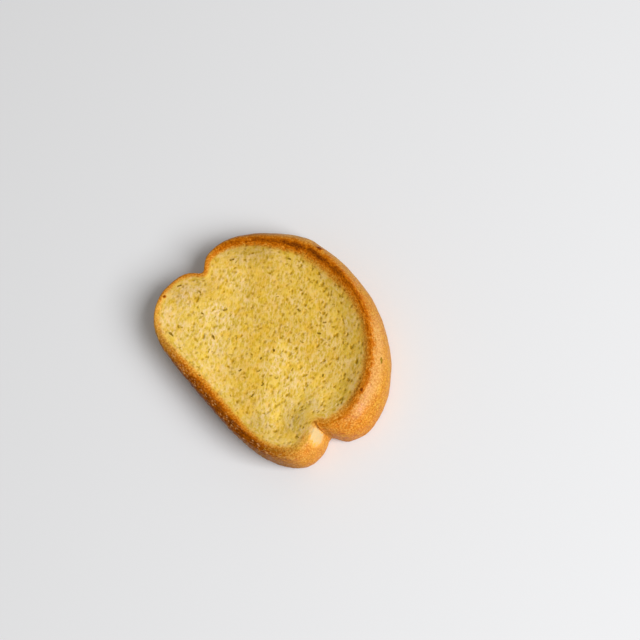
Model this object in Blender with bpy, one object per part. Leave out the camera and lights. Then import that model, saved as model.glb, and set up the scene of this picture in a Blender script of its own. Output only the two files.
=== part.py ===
"""A thick slice of garlic toast, lying on its lower cut face.

Metres, +Z up. +Y points to the domed top of the loaf that the slice was cut from, and -Y to the flat
heel that stood in the tin. The origin is under the middle of the slice, on the surface it lies on.
"""

import math
import random

import bmesh
import bpy
from mathutils import Matrix, Vector, noise

MM = 0.001

# The cut faces
THICKNESS = 20 * MM
RIM_WIDTH = 2.2 * MM
RIM_HEIGHT = 1.0 * MM
DISH_DEPTH = 1.5 * MM
DISH_REACH = 15 * MM
UNEVEN_HEIGHT = 0.45 * MM
UNEVEN_SIZE = 17 * MM

# The crust round the side
UNDER_EDGE_INSET = 3.4 * MM
WIDEST_AT = 0.42
SHOULDER_POWER = 2.3
RIPPLE_HEIGHT = 0.35 * MM
RIPPLE_SIZE = 9 * MM

# What lies on the upper face and what is open in it
FLAKE_COUNT = 56
FLAKE_LENGTH = (1.5 * MM, 3.0 * MM)
FLAKE_SLENDER = 0.36
FLAKE_THICKNESS = 0.75 * MM
CELL_COUNT = 40
CELL_LENGTH = (1.8 * MM, 3.4 * MM)
CELL_SLENDER = 0.5
CELL_DEPTH = 1.1 * MM
CELL_LIFT = 0.25 * CELL_DEPTH
CELL_TURN_SPREAD = 0.35
FACE_MARGIN = 3.5 * MM
SEED = 7

# How evenly the flakes and cells are scattered: the first gap tried, as a share of an even grid's,
# and how much of it is kept after each place that falls too near another
FIRST_GAP_SHARE = 0.62
GAP_KEPT = 0.998

# How finely the slice is divided. A cut face has rings at these insets from the crust, then rings
# that are a share of the last one and take every second, fourth or eighth of its points.
SPLINE_STEPS = 24
OUTLINE_POINTS = 128
SIDE_STEPS = 10
UPPER_INSETS = (0, 1.8 * MM, 4.5 * MM, 8.5 * MM)
UPPER_SHARES = ((0.83, 2), (0.64, 2), (0.46, 4), (0.28, 4), (0.12, 8))
LOWER_INSETS = (4 * MM,)
LOWER_SHARES = ((0.8, 2), (0.5, 4), (0.2, 8))

# The edge of the crumb, anticlockwise from the middle of the heel: x and y of each landmark, and
# how far the crust stands out beyond it there, in millimetres. The outline turns sharply at a
# landmark marked as a break, where the risen dome split away from the tin.
LANDMARKS = (
    (0.0, -33.0, 4.2, False),
    (25.0, -32.6, 4.4, False),
    (40.4, -29.2, 4.4, False),
    (49.0, -21.6, 5.4, False),
    (48.0, -13.6, 7.0, False),
    (45.8, -6.6, 4.2, True),
    (50.8, -3.0, 8.6, False),
    (52.2, 6.8, 10.6, False),
    (49.0, 18.1, 10.2, False),
    (42.4, 27.8, 8.8, False),
    (32.2, 36.0, 7.9, False),
    (19.5, 42.0, 7.4, False),
    (4.0, 45.0, 6.8, False),
    (-11.0, 45.0, 6.6, False),
    (-25.0, 41.0, 7.2, False),
    (-38.5, 31.0, 7.4, False),
    (-48.6, 20.0, 6.4, False),
    (-50.4, 9.6, 5.0, False),
    (-45.4, 2.8, 3.4, True),
    (-51.7, -3.0, 5.2, False),
    (-54.1, -10.9, 4.4, False),
    (-53.2, -19.5, 4.0, False),
    (-47.0, -27.2, 4.0, False),
    (-36.0, -31.2, 4.2, False),
)

# Half sizes of the rounded box whose outward direction the crust follows. It has no notches, so
# the crust doesn't fold into itself at a break.
BOX_HALF_X = 55 * MM
BOX_HALF_Y = 40 * MM
BOX_MIDDLE_Y = 2 * MM


def clear_scene():
    for old in list(bpy.data.objects):
        bpy.data.objects.remove(old)


def plain_material(name, colour, roughness):
    material = bpy.data.materials.new(name)
    material.use_nodes = True
    shader = material.node_tree.nodes["Principled BSDF"]
    shader.inputs["Base Color"].default_value = (*colour, 1.0)
    shader.inputs["Roughness"].default_value = roughness
    shader.inputs["Metallic"].default_value = 0.0
    return material


def smooth_step(share):
    share = min(1.0, max(0.0, share))
    return share * share * (3 - 2 * share)


def outward(point):
    """The direction away from the middle of the slice, square to the rounded box round it."""
    x = point.x / BOX_HALF_X
    y = (point.y - BOX_MIDDLE_Y) / BOX_HALF_Y
    return Vector((x * abs(x) / BOX_HALF_X, y * abs(y) / BOX_HALF_Y)).normalized()


def outline():
    """Points of the crumb's edge, evenly spaced: each with how far the crust stands out there."""
    marks = [(Vector((x, y)) * MM, lip * MM, sharp) for x, y, lip, sharp in LANDMARKS]
    count = len(marks)
    slopes = []
    for i in range(count):
        before, after = marks[i - 1], marks[(i + 1) % count]
        slopes.append(Vector((0, 0)) if marks[i][2] else (after[0] - before[0]) / 2)
    fine = []
    for i in range(count):
        (a, lip_a, _), (b, lip_b, _) = marks[i], marks[(i + 1) % count]
        chord = (b - a).length
        slope_a = slopes[i] * min(1.0, chord / max(slopes[i].length, MM))
        slope_b = slopes[(i + 1) % count]
        slope_b = slope_b * min(1.0, chord / max(slope_b.length, MM))
        for k in range(SPLINE_STEPS):
            t = k / SPLINE_STEPS
            t2, t3 = t * t, t * t * t
            point = a * (2 * t3 - 3 * t2 + 1) + slope_a * (t3 - 2 * t2 + t)
            point += b * (3 * t2 - 2 * t3) + slope_b * (t3 - t2)
            fine.append((point, lip_a + (lip_b - lip_a) * smooth_step(t)))
    travelled = [0.0]
    for i, (point, _) in enumerate(fine):
        travelled.append(travelled[-1] + (fine[(i + 1) % len(fine)][0] - point).length)
    even = []
    i = 0
    for k in range(OUTLINE_POINTS):
        goal = travelled[-1] * k / OUTLINE_POINTS
        while travelled[i + 1] < goal:
            i += 1
        share = (goal - travelled[i]) / (travelled[i + 1] - travelled[i])
        (a, lip_a), (b, lip_b) = fine[i], fine[(i + 1) % len(fine)]
        even.append((a.lerp(b, share), lip_a + (lip_b - lip_a) * share))
    return even


def wave(point, size, key):
    """Smooth noise from -1 to 1 with waves of about this size, and another pattern for each key."""
    return noise.noise(Vector((point.x / size, point.y / size, key)))


def face_height(point, inset):
    """Height of the upper crumb at this inset from its edge: a dish with a raised edge."""
    sink = RIM_HEIGHT + DISH_DEPTH * math.sin(math.pi / 2 * min(1.0, inset / DISH_REACH))
    fade = smooth_step(inset / (DISH_REACH / 2))
    return THICKNESS - sink + UNEVEN_HEIGHT * fade * wave(point, UNEVEN_SIZE, 3.7)


def crust_rings(edge):
    """Rings down the side, from the crest of the upper rim to the edge of the lower face."""
    power = 2 / SHOULDER_POWER
    rings = []
    for k in range(SIDE_STEPS + 1):
        angle = math.pi * (k / SIDE_STEPS - 0.5)
        reach = abs(math.sin(angle)) ** power
        fullness = max(0.0, math.cos(angle)) ** power
        above = angle < 0
        depth = WIDEST_AT * (1 - reach) if above else WIDEST_AT + (1 - WIDEST_AT) * reach
        ring = []
        for point, lip in edge:
            inner = RIM_WIDTH if above else max(lip - UNDER_EDGE_INSET, RIM_WIDTH)
            bulge = inner + (lip - inner) * fullness
            ripple = RIPPLE_HEIGHT * wave(point, RIPPLE_SIZE, 8 * depth) * fullness
            crest = UNEVEN_HEIGHT * wave(point, UNEVEN_SIZE, 9.1) * (1 - depth) ** 2
            place = point + outward(point) * (bulge + ripple)
            ring.append(Vector((place.x, place.y, THICKNESS * (1 - depth) + crest)))
        rings.append(ring)
    return rings


def crumb_rings(edge, insets, shares, height):
    """Rings from the edge of a cut face towards its middle, with fewer points further in."""
    rings = []
    for inset in insets:
        ring = []
        for point, _ in edge:
            place = point - outward(point) * inset
            ring.append(Vector((place.x, place.y, height(place, inset))))
        rings.append(ring)
    last = rings[-1]
    for share, every in shares:
        ring = []
        for corner in last[::every]:
            place = Vector((corner.x * share, BOX_MIDDLE_Y + (corner.y - BOX_MIDDLE_Y) * share))
            ring.append(Vector((place.x, place.y, height(place, DISH_REACH))))
        rings.append(ring)
    return rings


def join_rings(bm, outer, inner, turn, material_index):
    """Faces between two rings of vertices. The inner one has as many points or half as many."""
    count = len(outer)
    half = len(inner) * 2 == count
    for i in range(0, count, 2 if half else 1):
        j = i // 2 if half else i
        a, b = outer[i], outer[(i + 1) % count]
        p, q = inner[j], inner[(j + 1) % len(inner)]
        if half:
            c = outer[(i + 2) % count]
            loops = [(a, b, p), (b, q, p), (b, c, q)]
        else:
            loops = [(a, b, q, p)]
        for loop in loops:
            face = bm.faces.new(loop if turn else loop[::-1])
            face.material_index = material_index
            face.smooth = True


def close_middle(bm, ring, turn):
    middle = sum((v.co for v in ring), Vector()) / len(ring)
    centre = bm.verts.new(middle)
    for i, vertex in enumerate(ring):
        loop = (vertex, ring[(i + 1) % len(ring)], centre)
        face = bm.faces.new(loop if turn else loop[::-1])
        face.smooth = True


def make_slice(edge, crumb, crust):
    """The bread: one closed body from the upper crumb, over the rim, round to the lower face."""
    upper = crumb_rings(edge, UPPER_INSETS, UPPER_SHARES, face_height)
    side = crust_rings(edge)
    lower_edge = [(Vector((place.x, place.y)), lip) for place, (_, lip) in zip(side[-1], edge)]
    lower = crumb_rings(lower_edge, LOWER_INSETS, LOWER_SHARES, lambda place, inset: 0.0)
    bm = bmesh.new()
    rings = [[bm.verts.new(place) for place in ring] for ring in upper[::-1] + side + lower]
    first_crust = len(upper) - 1
    last_crust = len(upper) + len(side) - 1
    close_middle(bm, rings[0], turn=True)
    for i in range(len(rings) - 1):
        on_crust = int(first_crust <= i < last_crust)
        if i < last_crust:
            join_rings(bm, rings[i + 1], rings[i], turn=True, material_index=on_crust)
        else:
            join_rings(bm, rings[i], rings[i + 1], turn=False, material_index=on_crust)
    close_middle(bm, rings[-1], turn=False)
    mesh = bpy.data.meshes.new("toast_slice")
    bm.to_mesh(mesh)
    bm.free()
    mesh.materials.append(crumb)
    mesh.materials.append(crust)
    toast = bpy.data.objects.new("toast_slice", mesh)
    bpy.context.scene.collection.objects.link(toast)
    return toast


def scattered_places(edge, count, draw):
    """Places on the upper face, kept apart and clear of the rim: x, y and the inset from the edge."""
    middle = Vector((0, BOX_MIDDLE_Y))
    apart = FIRST_GAP_SHARE * math.sqrt(4 * BOX_HALF_X * BOX_HALF_Y / count)
    places = []
    while len(places) < count:
        point, _ = edge[draw.randrange(len(edge))]
        reach = (point - middle).length - FACE_MARGIN
        place = middle + (point - middle).normalized() * reach * math.sqrt(draw.random())
        if all((place - other).length > apart for other, _ in places):
            nearest = min((place - other).length for other, _ in edge)
            places.append((place, nearest))
        else:
            apart *= GAP_KEPT
    return places


def add_lump(name, place, size, turned, collection, material):
    """A small squashed ball, for a flake that is added or a cell that is cut out."""
    bm = bmesh.new()
    bmesh.ops.create_icosphere(bm, subdivisions=1, radius=1.0)
    turn = Matrix.Rotation(turned, 4, "Z")
    bm.transform(Matrix.Translation(place) @ turn @ Matrix.Diagonal((*size, 1.0)))
    mesh = bpy.data.meshes.new(name)
    bm.to_mesh(mesh)
    bm.free()
    mesh.materials.append(material)
    collection.objects.link(bpy.data.objects.new(name, mesh))


def combine(toast, collection, operation):
    """Joins a collection's lumps to the slice, or cuts them out of it, in one step."""
    modifier = toast.modifiers.new(collection.name, "BOOLEAN")
    modifier.operation = operation
    modifier.operand_type = "COLLECTION"
    modifier.collection = collection
    modifier.solver = "EXACT"
    modifier.material_mode = "TRANSFER"
    bpy.context.view_layer.objects.active = toast
    bpy.ops.object.modifier_apply(modifier=modifier.name)
    for lump in list(collection.objects):
        bpy.data.objects.remove(lump)
    bpy.data.collections.remove(collection)


def open_cells(toast, edge, crumb, draw):
    """The largest open cells of the crumb, drawn out along the nearest crust."""
    cutters = bpy.data.collections.new("open_cells")
    bpy.context.scene.collection.children.link(cutters)
    for i, (place, inset) in enumerate(scattered_places(edge, CELL_COUNT, draw)):
        away = outward(place)
        along = math.atan2(away.x, -away.y) + draw.gauss(0, CELL_TURN_SPREAD)
        length = draw.uniform(*CELL_LENGTH)
        size = (length / 2, length * CELL_SLENDER / 2, CELL_DEPTH)
        centre = Vector((place.x, place.y, face_height(place, inset) + CELL_LIFT))
        add_lump(f"open_cell_{i:02d}", centre, size, along, cutters, crumb)
    combine(toast, cutters, "DIFFERENCE")


def herb_flakes(toast, edge, herb, draw):
    """Flakes of dried parsley, half sunk in the buttered face."""
    flakes = bpy.data.collections.new("herb_flakes")
    bpy.context.scene.collection.children.link(flakes)
    for i, (place, inset) in enumerate(scattered_places(edge, FLAKE_COUNT, draw)):
        length = draw.uniform(*FLAKE_LENGTH)
        size = (length / 2, length * FLAKE_SLENDER / 2, FLAKE_THICKNESS / 2)
        centre = Vector((place.x, place.y, face_height(place, inset)))
        add_lump(f"herb_flake_{i:02d}", centre, size, draw.uniform(0, math.pi), flakes, herb)
    combine(toast, flakes, "UNION")


def stand_on_origin(toast):
    """Moves the mesh so that the origin is under the middle of its box."""
    corners = [vertex.co for vertex in toast.data.vertices]
    low = Vector(min(corner[axis] for corner in corners) for axis in range(3))
    high = Vector(max(corner[axis] for corner in corners) for axis in range(3))
    middle = (low + high) / 2
    toast.data.transform(Matrix.Translation((-middle.x, -middle.y, -low.z)))


def main():
    clear_scene()
    crumb = plain_material("buttered_crumb", (0.72, 0.47, 0.12), 0.75)
    crust = plain_material("browned_crust", (0.62, 0.27, 0.05), 0.55)
    herb = plain_material("dried_parsley", (0.10, 0.09, 0.02), 0.8)
    draw = random.Random(SEED)
    edge = outline()
    toast = make_slice(edge, crumb, crust)
    open_cells(toast, edge, crumb, draw)
    herb_flakes(toast, edge, herb, draw)
    stand_on_origin(toast)


main()
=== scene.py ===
"""A thick slice of garlic toast: buttered crumb with open pores, browned crust and dried parsley.

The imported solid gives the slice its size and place. The bread, the flakes of herb and the stage are
modelled around it, in metres, with +Z up and +Y towards the domed top of the loaf.
"""

import math
import random

import bpy
import numpy as np
from mathutils import Color, Matrix, Vector, kdtree, noise
from mathutils.bvhtree import BVHTree


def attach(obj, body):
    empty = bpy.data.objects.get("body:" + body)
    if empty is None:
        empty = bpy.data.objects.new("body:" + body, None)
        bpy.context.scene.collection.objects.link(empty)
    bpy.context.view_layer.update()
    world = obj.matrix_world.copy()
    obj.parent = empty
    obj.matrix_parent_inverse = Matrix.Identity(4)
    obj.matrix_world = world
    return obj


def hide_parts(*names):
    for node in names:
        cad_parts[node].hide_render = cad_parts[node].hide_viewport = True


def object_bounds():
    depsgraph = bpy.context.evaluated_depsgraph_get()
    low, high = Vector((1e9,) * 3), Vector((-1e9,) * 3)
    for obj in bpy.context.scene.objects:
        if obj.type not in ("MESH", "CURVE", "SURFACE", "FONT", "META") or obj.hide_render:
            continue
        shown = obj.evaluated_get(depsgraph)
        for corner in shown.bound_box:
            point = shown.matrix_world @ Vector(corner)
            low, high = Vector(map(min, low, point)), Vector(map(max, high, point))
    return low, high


bl_info = {
    "name": "Garlic toast",
    "version": (1, 0, 0),
    "blender": (4, 5, 0),
    "location": "3D View > Sidebar > Toast",
    "description": "Bakes a slice of garlic toast around its packed solid",
    "category": "Object",
}

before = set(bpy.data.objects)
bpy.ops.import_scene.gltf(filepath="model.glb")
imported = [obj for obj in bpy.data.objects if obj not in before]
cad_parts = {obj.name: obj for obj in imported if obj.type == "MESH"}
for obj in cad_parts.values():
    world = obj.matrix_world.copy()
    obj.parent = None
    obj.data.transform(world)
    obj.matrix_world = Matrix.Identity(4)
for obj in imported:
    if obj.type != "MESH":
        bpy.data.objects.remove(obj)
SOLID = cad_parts["toast_slice"]
SOLID_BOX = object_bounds()
MM = 0.001

# Reading the solid, in millimetres
DIRECTIONS = 360
RIM_POINTS_PER_DIRECTION = 4
RIM_SEARCH = (26.0, 66.0, 0.25)  # the radii searched for the rim's crest, and their step
LEVEL_STEP = 0.02
SURROUNDINGS = 6.0  # how far round a point its plane is laid
FLAKE_STANDS = 0.11  # how far a flake stands out of that plane
CELL_SINKS = 0.18  # how far an open cell is sunk below it
LUMP_REACH = 2.2  # points this near the first are of its flake or cell
LEAST_IN_LUMP = 3
CLEAR_OF_RIM = 3.0  # how far inside the crest the dished crumb begins
SIDE_STARTS = 2.0  # how far outside it the side begins
HIGH_UP = 10.0  # where the upper half begins

# Rounds of smoothing, and where the skin is divided to be finer
CRUMB_ROUNDS = 40
SIDE_ROUNDS = 40
DOME_ROUNDS = 160
LAST_ROUNDS = (4, 2)  # over all of the skin, before and after it is divided
FINE_OUTSIDE = 1.6  # to this far outside the crest
FINE_BY_CREVICE = (3.0, 1.4)  # this near the crevice once, and twice

# How the crust is browned round the slice, by the direction in degrees anticlockwise from +X: how
# dark its darkest line is, how far inside the crest that line lies, over what distance it fades
# into the crumb and down the side, in millimetres, and how dark the side is below it.
BROWNING = (
    (-180, 0.45, 0.9, 2.0, 1.4, 0.36),
    (-165, 0.41, -0.5, 2.2, 1.5, 0.34),
    (-150, 0.28, 0.0, 3.2, 1.5, 0.32),
    (-138, 0.25, 0.2, 4.2, 1.6, 0.32),
    (-130, 0.41, 0.5, 4.4, 1.8, 0.44),
    (-120, 0.60, 0.9, 4.8, 2.0, 0.56),
    (-105, 0.67, 1.5, 5.4, 2.6, 0.64),
    (-90, 0.71, 1.2, 5.4, 2.6, 0.64),
    (-75, 0.73, 1.3, 5.0, 2.6, 0.60),
    (-60, 0.78, 0.8, 4.6, 2.4, 0.48),
    (-45, 0.61, 0.1, 4.8, 2.1, 0.44),
    (-36, 0.39, 0.0, 4.6, 2.0, 0.41),
    (-28, 0.25, -0.4, 4.0, 1.5, 0.38),
    (-20, 0.14, -0.4, 3.6, 1.5, 0.31),
    (-16, 0.46, -0.8, 3.5, 1.4, 0.42),
    (0, 0.50, -0.3, 4.0, 1.5, 0.42),
    (15, 0.53, -1.0, 4.4, 1.4, 0.30),
    (30, 0.55, -1.0, 4.4, 1.5, 0.28),
    (45, 0.61, -1.1, 4.2, 1.8, 0.29),
    (60, 0.68, -0.7, 4.0, 2.0, 0.31),
    (75, 0.71, -0.1, 4.2, 2.2, 0.29),
    (90, 0.81, 0.6, 4.6, 2.3, 0.28),
    (105, 0.82, 1.3, 5.2, 2.5, 0.28),
    (120, 0.84, 1.8, 5.2, 2.5, 0.28),
    (135, 0.80, 1.5, 4.8, 2.3, 0.28),
    (150, 0.72, 0.6, 3.9, 2.0, 0.36),
    (165, 0.65, 0.8, 3.2, 1.5, 0.42),
)

# Sectors of the slice, by their middle and spread in degrees, and the degrees in which they end softly
HEEL = (-88.0, 46.0)  # baked against the tin, and blistered
SLOW_FADE = (48.0, 66.0)  # the browning fades slowly into the crumb
DOME = (52.0, 58.0)  # the side is smoothed round
SHEEN_SECTORS = ((24.0, 20.0), (144.0, 14.0))  # a pinkish sheen is painted on the side here
NOTCH_LIT = (-27.0, 22.0)  # painted light: the crumb by the notch keeps less of the butter's tint, to lift the shade its slope takes
SECTOR_EDGE = 16.0
SHEEN_ELSEWHERE = 0.15  # the share of the painted sheen that the rest of the side has
NOTCH_LIT_SHARE = 0.7  # the share of the butter's tint taken away there as painted light

# Sectors where shade is painted on the crumb: how much, and between which distances inside the crest it ends
PAINTED_SHADE_SECTORS = (
    ((72.0, 92.0), 0.4, (3.0, 11.0)),
    ((174.0, 24.0), 0.55, (7.0, 18.0)),
    ((-42.0, 12.0), 0.35, (8.0, 16.0)),
)

# The way across the slice in which the crumb gets richer, and those in which shade is painted on it and how
# much, each with the stretch in millimetres from the middle over which that happens
RICHER_WAY = ((0.75, 0.66, 0), (-34, -14))
PAINTED_SHADE_WAYS = (((0.8, 0.6, 0), 0.2, (5, 40)), ((-0.66, -0.75, 0), 0.3, (25, 55)))

# How the browning falls off on both sides of its darkest line
TAIL = 2.4  # the slow fade's length in millimetres
TAIL_POWER = 1.15
SLOW_SHARE = (0.12, 0.78)  # the slow fade's share everywhere, and what its sector adds
OUTWARD_POWER = 1.7  # down the side
FRINGE = 0.22  # how baked the golden fringe on the crumb is
FRINGE_REACH = 1.7  # as a multiple of the fade

# Waves, by their height in millimetres, their size and the key of their noise
WANDER = ((0.4, 4.0, 5), (0.2, 1.2, 6))  # of the darkest line, inwards and outwards
CRUMB_WAVES = ((0.05, 1.4, 1), (0.16, 6, 2))
CRUST_WAVES = ((0.16, 6, 3), (0.07, 1.6, 4))
BLISTER_HEIGHT = 0.26
BLISTER_LEVEL = 0.6  # what stays at its height in the heel's blisters

# Where the dome tore away from the lobe: the crevice between them, from the crumb over the rim and
# down the side, how far it reaches and how deep it runs in under the dome
CREVICE = (
    (46.2, -14.8, 19.9), (47.4, -15.3, 19.4), (48.4, -15.6, 18.2), (49.2, -15.7, 15.0),
    (49.1, -15.6, 10.0), (48.8, -15.1, 6.0), (48.6, -15.0, 2.0),
)
CREVICE_REACH = 0.55
CREVICE_INWARD = (-0.9, 0.7, 0.0)

# The patch of bare crumb beside it, by its middle and its reach
TEAR_PLACE = (49.6, -17.8, 16.8)
TEAR_REACH = (6.0, 4.2, 5.4)

# Sectors where the crumb rises gently to the rim: how far it is levelled there, and the drop that is
# left from the crest over a reach, in millimetres
GENTLE_RIMS = (((-27.0, 16.0), 0.95, 2.5, 26.0), ((42.0, 58.0), 0.45, 1.1, 13.0))

# The lie of the crumb's grain where the crust doesn't lead it, in degrees from +X, and how far in
# from the crest the crust leads it
GRAIN_TURN = 131.0
FOLLOW_REACH = 10.0

# The skin laid out flat for baking, in millimetres: the side of the square sheet, the border, how far
# the cut faces reach over the crest, the underside's corner and scale, and the strips of the side
SHEET = 165.0
SHEET_BORDER = 1.0
OVER_THE_CREST = 1.0
UNDERSIDE_CORNER = (124.0, 1.0)
UNDERSIDE_SCALE = 0.44
SIDE_STRIPS = 3
FIRST_STRIP = 91.5
STRIP_HEIGHT = 24.3
LONGEST_FACE = 1.5

# Burnt spots on the crust, by their place and reach. The first is a blister that stands up.
BURNT_SPOTS = (
    (-15.9, 42.0, 19.4, 1.5), (50.4, 10.2, 19.8, 0.7), (-56.5, -25.1, 19.3, 0.6),
)
BURNT_HEIGHT = 0.7

# The colours of the light from all round and of the soft light, the side of the square picture in
# pixels, and the camera's sensor in millimetres
WARM_FILL = (1.0, 0.95, 0.88, 1.0)
COOL_KEY = (1.0, 0.995, 0.985)
PICTURE = 640
SENSOR = 36.0

# How a fine noise changes the crust's colour, as linear factors: painted shade, darker and redder, where it
# stands for the hollows of its fine relief, and painted light where it stands for its tops
CRUST_PAINTED_SHADE = (0.70, 0.61, 0.42, 1.0)
CRUST_PAINTED_LIGHT = (1.06, 1.12, 0.98, 1.0)

# How far above the bread the middle of a piece of herb lies, in millimetres
FLAKE_LIFT = 0.08
DARK_FLAKE_LIFT = 0.1
SPECK_LIFT = 0.03

# A face is steep where its normal's height is less than this
STEEP = 0.8
STEEP_SUNK = 0.03  # how much lower the herb lies there
STEEP_PRESSED = 0.35  # the share of its height that is left

# The darkest flakes of herb: place from above, direction of their length in degrees, and length
DARK_FLAKES = (
    (-39.5, -34.8, 3, 3.2), (31.0, 2.3, 134, 1.9), (14.5, 14.2, 22, 2.5), (4.0, -5.5, 172, 2.8),
    (-45.3, 9.5, 73, 2.7), (-36.3, -17.7, 4, 1.7), (-23.4, 28.6, 22, 2.4), (12.5, -19.9, 81, 1.9),
    (-22.9, -21.5, 156, 2.8), (-55.0, -16.5, 69, 2.6), (-1.3, 15.1, 173, 2.1), (12.6, 19.7, 66, 1.7),
    (2.4, -12.0, 117, 2.2), (13.0, -26.7, 100, 1.8), (-29.2, -8.7, 66, 2.6), (-13.3, -37.9, 18, 1.7),
    (45.0, -24.4, 21, 1.6), (-0.8, -22.9, 56, 1.9), (45.3, 25.3, 131, 3.4),
)


def colour_property(name, red, green, blue, description):
    """A colour, given as screen values from 0 to 255."""
    default = tuple(linear(value) for value in (red, green, blue))
    return bpy.props.FloatVectorProperty(
        name=name, description=description, subtype="COLOR", size=3, min=0.0, max=1.0, default=default
    )


def number_property(name, default, description, **kind):
    return bpy.props.FloatProperty(name=name, description=description, default=default, **kind)


def length_property(name, default, low, high, description, precision=5):
    """A length, given in millimetres and kept in metres."""
    kind = {"min": low * MM, "max": high * MM, "unit": "LENGTH", "precision": precision}
    return number_property(name, default * MM, description, **kind)


def angle_property(name, degrees, description):
    return number_property(name, math.radians(degrees), description, unit="ROTATION")


def count_property(name, default, high, description):
    return bpy.props.IntProperty(name=name, description=description, default=default, min=0, max=high)


def linear(value):
    """A screen value from 0 to 255 as a linear colour value."""
    share = value / 255
    return share / 12.92 if share <= 0.04045 else ((share + 0.055) / 1.055) ** 2.4


class BreadSettings(bpy.types.PropertyGroup):
    """The bread's mesh, its pores and the colours of its crumb and crust."""

    grid: length_property("Grid", 0.81, 0.5, 3, "Spacing of the bread's mesh where it is coarsest")
    pores: count_property("Pores", 2000, 6000, "Open pores in the upper crumb")
    pore_depth: length_property("Pore depth", 0.3, 0, 2, "Depth of the deepest pores")
    stretch: number_property("Stretch", 2.6, "How much longer the crumb's grain is along the crust", min=1)
    mustard: colour_property("Mustard", 212, 178, 62, "The hollows of the crumb")
    butter: colour_property("Butter", 232, 199, 99, "Crumb that is soaked with butter")
    cream: colour_property("Cream", 243, 212, 148, "Crumb with little butter in it")
    pale: colour_property("Pale", 252, 222, 178, "The thin walls between the hollows")
    soaked: colour_property("Soaked", 251, 245, 166, "Tint of the patches where butter pooled")
    rich: colour_property("Rich", 238, 232, 204, "Tint of the crumb where most butter ran")
    sunny: colour_property("Sunny", 254, 248, 226, "Tint of the patches that browned a little")
    # Painted shade: the tint that darkens the crumb where it stands for shade near the crest and across the
    # slice
    painted_shade: colour_property("PaintedShade", 218, 211, 206, "Tint of the crumb on the side that baked longest")
    # Painted shade in the pores
    pore_shade: colour_property("Pore", 204, 188, 92, "Tint of the bottom of a deep pore")
    golden: colour_property("Golden", 238, 190, 86, "Crumb that has begun to brown")
    amber: colour_property("Amber", 236, 169, 66, "Lightly baked crust")
    # Painted sheen: the pinkish highlight laid on the side below the crest
    painted_sheen: colour_property("PaintedSheen", 244, 194, 138, "Lightly baked crust round the side")
    # Pale grains of the crust, which also stand for painted glints
    grain: colour_property("Grain", 247, 192, 118, "The pale grains of lightly baked crust")
    orange: colour_property("Orange", 218, 138, 30, "Baked crust")
    tan: colour_property("Tan", 190, 102, 0, "Well baked crust")
    brown: colour_property("Brown", 154, 80, 2, "Dark crust along the rim")
    dark: colour_property("Dark", 118, 56, 4, "The darkest crust")
    heel: colour_property("Heel", 206, 203, 194, "Tint of the crust that baked against the tin")
    flour: colour_property("Flour", 208, 158, 102, "The tops of the heel's blisters")
    torn: colour_property("Torn crumb", 200, 172, 121, "Crumb left bare by the tear at the notch")
    # Painted shade: the dark line of shade in the top of the crevice
    crevice: colour_property("CreviceShade", 150, 92, 14, "The top of the crevice at the notch")


class HerbSettings(bpy.types.PropertyGroup):
    """Flakes and specks of dried parsley."""

    specks: count_property("Specks", 80, 2000, "Small specks on the crumb")
    crust_specks: count_property("Crust specks", 18, 300, "Small specks on the crust round the side")
    speck_length: length_property("Speck length", 0.8, 0.3, 3, "Length of the largest specks")
    thickness: length_property("Thickness", 0.16, 0.05, 1, "Thickness of a flake")
    leaf: colour_property("Leaf", 200, 164, 62, "The palest flakes, soaked with butter")
    leaf_dark: colour_property("Dark leaf", 128, 97, 14, "The darkest flakes")


class StageSettings(bpy.types.PropertyGroup):
    """The floor, the light and the camera."""

    floor: colour_property("Floor", 225, 227, 231, "The plain pale floor")
    floor_size: length_property("Floor size", 6000, 500, 20000, "Side of the floor")
    fill: number_property("Fill", 0.3, "Strength of the light from all round", min=0, max=5)
    key: number_property("Key", 88.0, "Power of the soft light", min=0, unit="POWER")
    key_size: length_property("Key size", 1300, 100, 5000, "Side of the soft light")
    key_distance: length_property("Key distance", 2600, 200, 20000, "How far off the soft light is")
    key_lift: angle_property("Key lift", 63, "Angle of the soft light above the picture's plane")
    key_turn: angle_property("Key turn", -6, "Way to the soft light, anticlockwise from the picture's right")
    tilt: angle_property("Tilt", 29.0, "Angle of the camera from straight above, towards +X")
    roll: angle_property("Roll", 45.2, "How far below the picture's right +X points")
    lens: number_property("Lens", 100.0, "Focal length of the camera", min=20, unit="CAMERA")
    pixel: length_property("Pixel", 0.4605, 0.05, 10, "Width of one of the picture's pixels at the slice", 6)
    centre_x: number_property("Picture X", 291.0, "The slice's middle across the picture, in pixels")
    centre_y: number_property("Picture Y", 348.4, "The slice's middle down the picture, in pixels")


# Small tools


def select_only(piece):
    bpy.ops.object.select_all(action="DESELECT")
    piece.select_set(True)
    bpy.context.view_layer.objects.active = piece


def new_piece(name, mesh):
    piece = bpy.data.objects.new(name, mesh)
    bpy.context.scene.collection.objects.link(piece)
    select_only(piece)
    return piece


def just_added(name):
    """What an operator has just added, under this name."""
    piece = bpy.context.object
    piece.name = name
    return piece


def apply_modifier(piece, kind, **values):
    modifier = piece.modifiers.new(kind.title(), kind)
    for name, value in values.items():
        setattr(modifier, name, value)
    select_only(piece)
    bpy.ops.object.modifier_apply(modifier=modifier.name)


def read(items, name, kind=int, size=1):
    """A property of all of a mesh's vertices, corners or faces."""
    values = np.empty(len(items) * size, kind)
    items.foreach_get(name, values)
    return values


def places_of(mesh):
    """The mesh's vertices in millimetres, one row each."""
    return read(mesh.vertices, "co", np.float32, 3).reshape(-1, 3).astype(float) / MM


def normals_of(mesh):
    return read(mesh.vertices, "normal", np.float32, 3).reshape(-1, 3).astype(float)


def smooth(piece, rounds, group=""):
    apply_modifier(piece, "SMOOTH", factor=0.5, iterations=rounds, vertex_group=group)


def move_vertices(mesh, places):
    mesh.vertices.foreach_set("co", (places * MM).astype(np.float32).ravel())
    mesh.update()


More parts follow.
